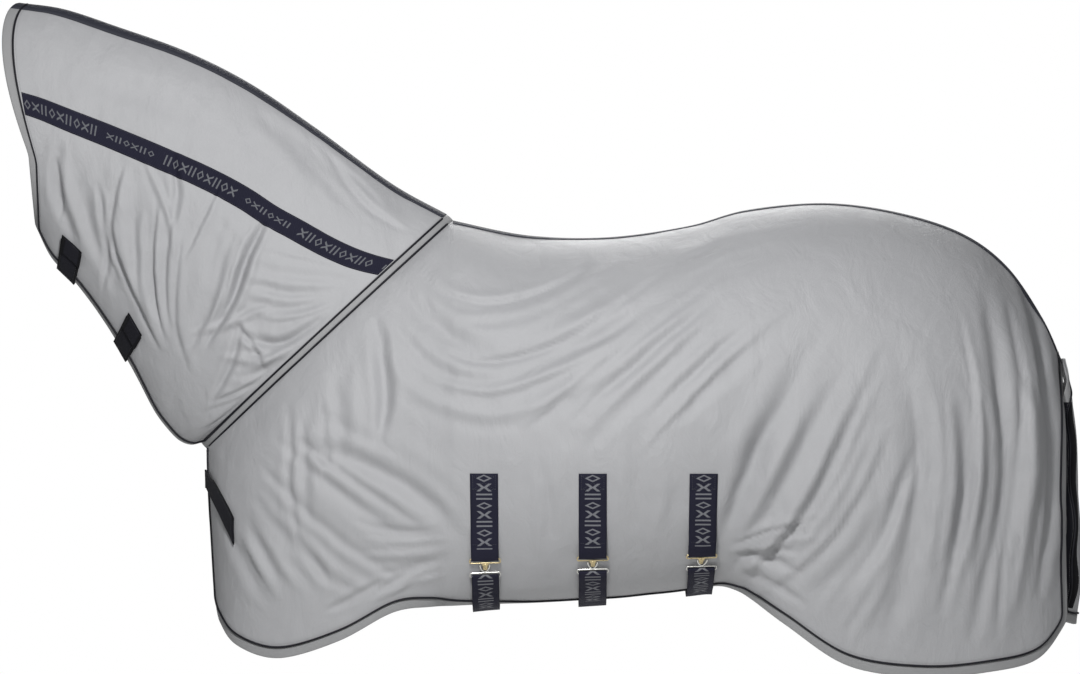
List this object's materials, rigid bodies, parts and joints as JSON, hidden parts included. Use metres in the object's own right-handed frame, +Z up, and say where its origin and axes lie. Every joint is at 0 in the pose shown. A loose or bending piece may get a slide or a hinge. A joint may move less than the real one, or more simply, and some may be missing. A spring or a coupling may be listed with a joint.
{
  "type": "fly sheet",
  "caption": "Light grey horse fly sheet with sewn-in neck cover, navy trims, three belly straps with metal clasps and a tail flap.",
  "frame": {"origin": "at the withers, where the crest and the spine tape meet, on the centre line", "axes": "+X runs back towards the tail, +Y towards the horse's right (off) side, +Z up"},
  "size_m": [2.3366, 0.6474, 1.4555],
  "materials": {
    "cloth": "satin",
    "grey_binding": "matte",
    "piping": "satin",
    "navy_webbing": "matte",
    "black_hook_tape": "matte",
    "dark_stretch": "matte",
    "clasp_metal": "polished"
  },
  "bodies": {
    "cover": {"body_panel_near": "cloth", "body_panel_off": "cloth", "neck_panel_near": "cloth", "neck_panel_off": "cloth", "hem_binding_near": "grey_binding", "hem_binding_off": "grey_binding", "hem_piping_near": "piping", "hem_piping_off": "piping", "neck_binding_near": "grey_binding", "neck_binding_off": "grey_binding", "neck_piping_near": "piping", "neck_piping_off": "piping", "spine_tape": "dark_stretch", "crest_strip": "dark_stretch", "collar_strip_near": "grey_binding", "collar_strip_off": "grey_binding", "collar_front_piping_near": "piping", "collar_front_piping_off": "piping", "collar_rear_piping_near": "piping", "collar_rear_piping_off": "piping", "neck_band_near": "navy_webbing", "neck_band_off": "navy_webbing", "surcingle_1_root": "navy_webbing", "surcingle_2_root": "navy_webbing", "surcingle_3_root": "navy_webbing", "throat_strap_upper_root": "black_hook_tape", "throat_strap_upper_patch_near": "black_hook_tape", "throat_strap_upper_patch_off": "black_hook_tape", "throat_strap_lower_root": "black_hook_tape", "throat_strap_lower_patch_near": "black_hook_tape", "throat_strap_lower_patch_off": "black_hook_tape", "chest_strap_root": "black_hook_tape", "chest_patch_near": "black_hook_tape", "chest_patch_off": "black_hook_tape"},
    "tab_1": {"surcingle_1_tab": "navy_webbing"},
    "hook_1": {"surcingle_1_hook": "clasp_metal"},
    "belly_strap_1": {"surcingle_1_strap": "navy_webbing", "surcingle_1_eye": "clasp_metal", "surcingle_1_slider": "clasp_metal"},
    "tab_2": {"surcingle_2_tab": "navy_webbing"},
    "hook_2": {"surcingle_2_hook": "clasp_metal"},
    "belly_strap_2": {"surcingle_2_strap": "navy_webbing", "surcingle_2_eye": "clasp_metal", "surcingle_2_slider": "clasp_metal"},
    "tab_3": {"surcingle_3_tab": "navy_webbing"},
    "hook_3": {"surcingle_3_hook": "clasp_metal"},
    "belly_strap_3": {"surcingle_3_strap": "navy_webbing", "surcingle_3_eye": "clasp_metal", "surcingle_3_slider": "clasp_metal"},
    "throat_flap_upper": {"throat_strap_upper_flap": "black_hook_tape"},
    "throat_flap_lower": {"throat_strap_lower_flap": "black_hook_tape"},
    "chest_flap": {"chest_strap_flap": "black_hook_tape"},
    "tail_cover": {"tail_flap": "cloth", "tail_flap_binding": "grey_binding", "tail_flap_piping": "piping"}
  },
  "joints": [
    {"name": "tab_1_lift", "type": "hinge", "parent": "cover", "child": "tab_1", "pos_m": [0.07068, -0.28916, -0.54471], "axis": [-0.9889, 0.1488, -0.0037], "range_deg": [0, 110]},
    {"name": "hook_1_swing", "type": "hinge", "parent": "tab_1", "child": "hook_1", "pos_m": [0.07266, -0.2457, -0.72837], "axis": [-0.9987, 0.0395, -0.0315], "range_deg": [0, 100]},
    {"name": "belly_strap_1_drop", "type": "hinge", "parent": "cover", "child": "belly_strap_1", "pos_m": [0.07127, 0.27744, -0.6243], "axis": [0.9938, 0.1112, 0.0094], "range_deg": [0, 60]},
    {"name": "tab_2_lift", "type": "hinge", "parent": "cover", "child": "tab_2", "pos_m": [0.30377, -0.31338, -0.54492], "axis": [-0.9983, 0.0577, -0.0026], "range_deg": [0, 110]},
    {"name": "hook_2_swing", "type": "hinge", "parent": "tab_2", "child": "hook_2", "pos_m": [0.30409, -0.25204, -0.72329], "axis": [-0.9998, 0.0069, -0.0203], "range_deg": [0, 100]},
    {"name": "belly_strap_2_drop", "type": "hinge", "parent": "cover", "child": "belly_strap_2", "pos_m": [0.3038, 0.29521, -0.62334], "axis": [0.9992, 0.0395, 0.0065], "range_deg": [0, 60]},
    {"name": "tab_3_lift", "type": "hinge", "parent": "cover", "child": "tab_3", "pos_m": [0.54163, -0.31233, -0.54505], "axis": [-0.9971, -0.0756, 0.0035], "range_deg": [0, 110]},
    {"name": "hook_3_swing", "type": "hinge", "parent": "tab_3", "child": "hook_3", "pos_m": [0.53877, -0.23959, -0.71908], "axis": [-0.9922, -0.1238, -0.015], "range_deg": [0, 100]},
    {"name": "belly_strap_3_drop", "type": "hinge", "parent": "cover", "child": "belly_strap_3", "pos_m": [0.54048, 0.29001, -0.62252], "axis": [0.9958, -0.092, -0.0002], "range_deg": [0, 60]},
    {"name": "throat_upper_peel", "type": "hinge", "parent": "cover", "child": "throat_flap_upper", "pos_m": [-0.83994, 0, -0.12014], "axis": [0.7182, 0, -0.6958], "range_deg": [0, 150]},
    {"name": "throat_lower_peel", "type": "hinge", "parent": "cover", "child": "throat_flap_lower", "pos_m": [-0.72184, 0, -0.28316], "axis": [0.5, 0, -0.866], "range_deg": [0, 150]},
    {"name": "chest_strap_peel", "type": "hinge", "parent": "cover", "child": "chest_flap", "pos_m": [-0.5359, 0, -0.5591], "axis": [0.0588, 0, -0.9983], "range_deg": [0, 140]},
    {"name": "tail_flap_lift", "type": "hinge", "parent": "cover", "child": "tail_cover", "pos_m": [1.32382, 0, -0.29867], "axis": [0, -1, 0], "range_deg": [0, 75]}
  ]
}
